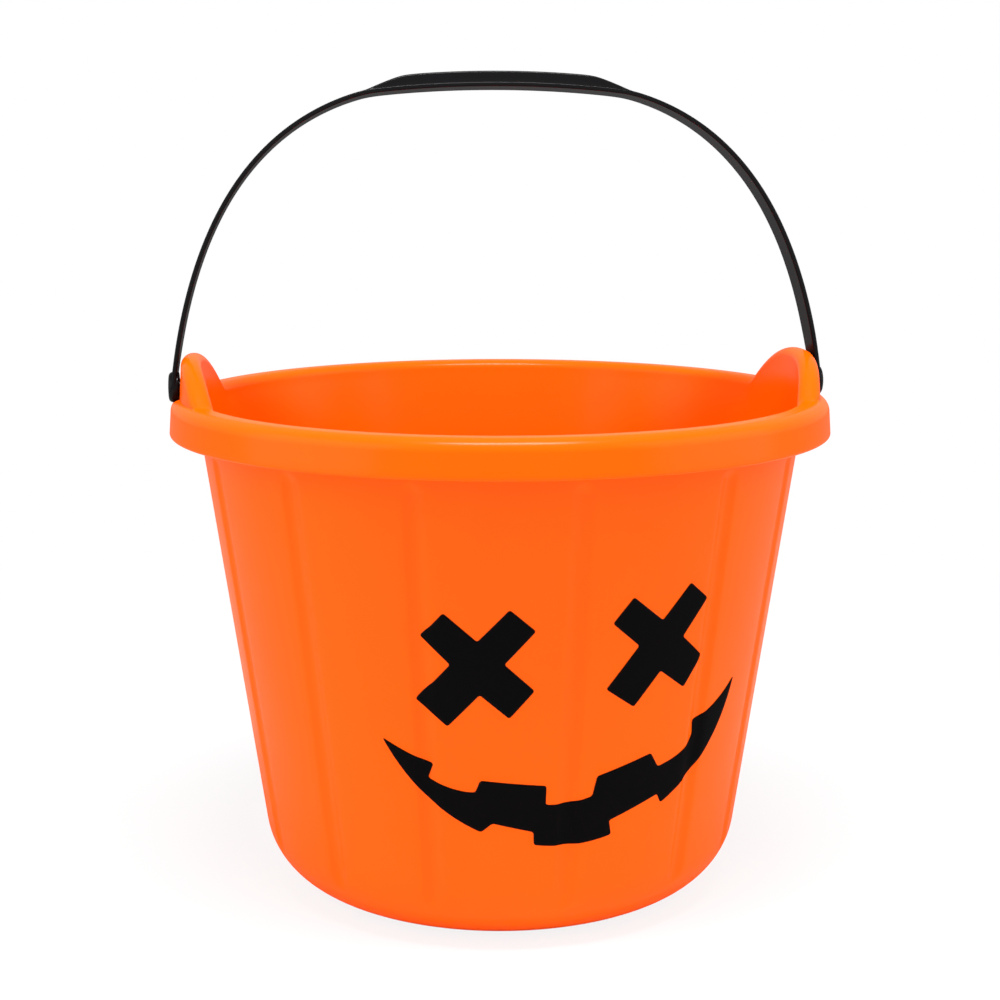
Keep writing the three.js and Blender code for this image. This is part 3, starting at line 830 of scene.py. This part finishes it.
# Face: corners in millimetres, right of the face's middle and above the ground. An entry of four is a curve:
# the point that pulls it, and then its end.
LEFT_EYE = [
    (-36.1, 108.4), (-41.9, 101.1), (-33.7, 92.7), (-42.6, 81.4), (-33.9, 73.4), (-25.3, 83.6),
    (-16.7, 76.2), (-9.7, 84.7), (-18.7, 93.0), (-10.0, 103.1), (-17.7, 109.7), (-26.5, 99.9),
]
RIGHT_EYE = [
    (19.4, 111.5), (13.1, 104.0), (22.0, 96.2), (12.0, 83.7), (21.2, 77.1), (29.7, 87.3),
    (38.4, 80.5), (44.6, 89.6), (37.0, 97.0), (45.3, 107.8), (38.7, 113.6), (29.5, 103.2),
]
MOUTH = [
    (-51.3, 68.0),
    (-44.5, 63.6, -37.3, 61.1),
    (-38.5, 56.3),
    (-31.0, 52.4, -25.6, 52.7),
    (-24.3, 56.5),
    (-5.0, 54.5),
    (-5.0, 48.4),
    (2.5, 47.8, 9.3, 50.0),
    (10.6, 56.2),
    (28.2, 61.0),
    (30.9, 56.1),
    (42.2, 58.6, 43.7, 63.8),
    (43.3, 68.2),
    (53.0, 71.2, 59.6, 78.6),
    (54.0, 55.6, 32.7, 43.8),
    (31.3, 47.0),
    (15.1, 41.3),
    (16.0, 36.6),
    (4.0, 33.6, -8.1, 35.6),
    (-8.3, 39.8),
    (-20.4, 42.8),
    (-23.6, 39.9),
    (-41.0, 48.0, -51.3, 68.0),
]


def drawn(entries, steps=14):
    """The outline's points, with each curve cut into steps, and the places in it of its true corners."""
    points = [Vector(entries[0])]
    corners = [0]
    for entry in entries[1:]:
        start, end = points[-1], Vector(entry[-2:])
        if len(entry) == 4:
            pull = Vector(entry[:2])
            for i in range(1, steps):
                t = i / steps
                points.append(start * (1 - t) ** 2 + pull * 2 * t * (1 - t) + end * t**2)
        points.append(end)
        corners.append(len(points) - 1)
    if (points[-1] - points[0]).length < SAME_PLACE:
        points.pop()
        corners.pop()
    return points, corners


def on_wall(across, z, stand):
    """A point of the flat drawing, carried straight back onto the fluted wall and held off it."""
    deep = math.sqrt(wall_outer(z) ** 2 - across**2)
    for _ in range(3):
        phi = FACE_TURN + math.atan2(across, deep)
        r = wall_outer(z) - pressed(wall_outer(z), phi, z) + stand
        deep = math.sqrt(r**2 - across**2)
    phi = FACE_TURN + math.atan2(across, deep)
    return r * math.sin(phi), -r * math.cos(phi), z


def film_sheet(entries):
    """The drawing as a sheet, cut into small cells that can follow the flutes, and laid on the wall."""
    bm = bmesh.new()
    points, corners = drawn(entries)
    verts = [bm.verts.new((p.x, 0, p.y)) for p in points]
    bm.faces.new(verts)
    bmesh.ops.bevel(
        bm,
        geom=[verts[i] for i in corners],
        offset=FILM_CORNER,
        offset_type="OFFSET",
        segments=3,
        profile=0.5,
        affect="VERTICES",
        material=-1,
    )
    low = [min(v.co[k] for v in bm.verts) for k in range(3)]
    high = [max(v.co[k] for v in bm.verts) for k in range(3)]
    for axis in (0, 2):
        count = math.ceil((high[axis] - low[axis]) / FILM_CELL)
        normal = [1 if k == axis else 0 for k in range(3)]
        for i in range(1, count):
            place = [0, 0, 0]
            place[axis] = mix(low[axis], high[axis], i / count)
            bmesh.ops.bisect_plane(
                bm, geom=bm.verts[:] + bm.edges[:] + bm.faces[:], dist=SAME_PLACE, plane_co=place, plane_no=normal
            )
    for vert in bm.verts:
        vert.co = on_wall(vert.co.x, vert.co.z, FILM_STAND)
    return bm


def make_film(name, entries, node, material):
    piece = finish_piece(name, film_sheet(entries), material)
    thick = piece.modifiers.new("thickness", "SOLIDIFY")
    thick.thickness = FILM_THICK * MM
    thick.offset = -1
    outward = Vector((math.sin(FACE_TURN), -math.cos(FACE_TURN), 0))
    if piece.data.polygons[0].normal.dot(outward) < 0:
        piece.data.flip_normals()
    place_on(piece, "pail", "black_film", node)


# Surroundings


def make_camera():
    data = bpy.data.cameras.new("camera")
    data.lens = CAMERA_LENS
    data.shift_x = (PICTURE / 2 - AXIS_PIXEL[0]) / PICTURE
    data.shift_y = (AXIS_PIXEL[1] - PICTURE / 2) / PICTURE
    camera = new_object("camera", data)
    towards = (math.sin(CAMERA_TURN), math.cos(CAMERA_TURN))
    camera.location = (-CAMERA_DISTANCE * towards[0], -CAMERA_DISTANCE * towards[1], CAMERA_HEIGHT)
    camera.rotation_euler = (math.pi / 2 - CAMERA_PITCH, 0, -CAMERA_TURN)
    bpy.context.scene.camera = camera


def make_floor():
    """A white table top. What the camera sees of it is near white, with a weak shadow of the pail, and turns into
    the white of the studio further out. From below it is clear, so that the underside of the pail can be seen."""
    bm = bmesh.new()
    bmesh.ops.create_grid(bm, x_segments=1, y_segments=1, size=FLOOR_HALF)
    mesh = bpy.data.meshes.new("floor")
    bm.to_mesh(mesh)
    bm.free()
    material, tree, output, place = new_material("white_laminate_table")
    table = add_node(tree, "ShaderNodeBsdfDiffuse", {"Color": linear("#f0f0f0")})
    glow = add_node(tree, "ShaderNodeEmission", {"Color": (1, 1, 1, 1), "Strength": 1.0})
    away = add_node(tree, "ShaderNodeVectorMath", {0: place}, operation="LENGTH")
    near, far = FLOOR_SHOWN
    share = add_node(
        tree,
        "ShaderNodeMapRange",
        {"Value": away.outputs["Value"], "From Min": near, "From Max": far, "To Min": FLOOR_WHITE, "To Max": 1.0},
    )
    shown = add_node(
        tree, "ShaderNodeMixShader", {0: share.outputs["Result"], 1: table.outputs[0], 2: glow.outputs[0]}
    )
    ray = add_node(tree, "ShaderNodeLightPath")
    either = add_node(
        tree, "ShaderNodeMixShader", {0: ray.outputs["Is Camera Ray"], 1: table.outputs[0], 2: shown.outputs[0]}
    )
    below = add_node(tree, "ShaderNodeNewGeometry").outputs["Backfacing"]
    clear = add_node(tree, "ShaderNodeBsdfTransparent")
    sided = add_node(tree, "ShaderNodeMixShader", {0: below, 1: either.outputs[0], 2: clear.outputs[0]})
    tree.links.new(sided.outputs[0], output.inputs["Surface"])
    mesh.materials.append(material)
    floor = new_object("floor", mesh)
    floor.location.z = -FLOOR_GAP * MM


def make_world():
    """A white studio: white where the camera, gloss or glass sees it, and a soft even fill elsewhere."""
    world = bpy.data.worlds.new("studio")
    bpy.context.scene.world = world
    world.use_nodes = True
    tree = world.node_tree
    tree.nodes.clear()
    ray = add_node(tree, "ShaderNodeLightPath")
    seen = add_node(
        tree,
        "ShaderNodeMath",
        {0: ray.outputs["Is Camera Ray"], 1: ray.outputs["Is Glossy Ray"]},
        operation="MAXIMUM",
    )
    seen = add_node(
        tree, "ShaderNodeMath", {0: seen.outputs[0], 1: ray.outputs["Is Transmission Ray"]}, operation="MAXIMUM"
    )
    strength = add_node(tree, "ShaderNodeMapRange", {"Value": seen.outputs[0], "To Min": FILL, "To Max": 1.0})
    sky = add_node(tree, "ShaderNodeBackground", {"Color": (1, 1, 1, 1), "Strength": strength.outputs["Result"]})
    output = add_node(tree, "ShaderNodeOutputWorld")
    tree.links.new(sky.outputs[0], output.inputs["Surface"])


def make_softbox(name, place, target, size, radiance):
    """A lit panel, in metres, that looks from its place to a target and shows this many times plain white."""
    data = bpy.data.lights.new(name, "AREA")
    data.shape = "RECTANGLE"
    data.size, data.size_y = size
    data.energy = radiance * math.pi * size[0] * size[1]
    light = new_object(name, data)
    light.location = place
    aim = Vector(target) - Vector(place)
    light.rotation_euler = aim.to_track_quat("-Z", "Y").to_euler()


def make_lights():
    """A narrow softbox overhead, a little before the pail, draws the light lines along the rim, the ears and the
    strap and shades the wall below the skirt, and a large one on each side lights the flanks and the flutes' walls.
    The table's bounce lights the front."""
    make_softbox("softbox_top", (0, -0.28, 0.93), (0, 0, 0.15), (0.4, 0.12), 68)
    for side, radiance in ((-1, 1.75), (1, 1.5)):
        make_softbox("softbox_side", (side * 0.95, -0.35, 0.45), (0, 0, 0.1), (1.0, 1.1), radiance)


make_camera()
make_floor()
make_world()
make_lights()
orange = orange_polypropylene()
black = black_polypropylene()
vinyl = black_vinyl()
make_bucket(orange)
make_handle(black)
make_film("left_eye", LEFT_EYE, "left_eye_decal", vinyl)
make_film("right_eye", RIGHT_EYE, "right_eye_decal", vinyl)
make_film("mouth", MOUTH, "mouth_decal", vinyl)

bpy.context.scene.view_settings.view_transform = "Standard"
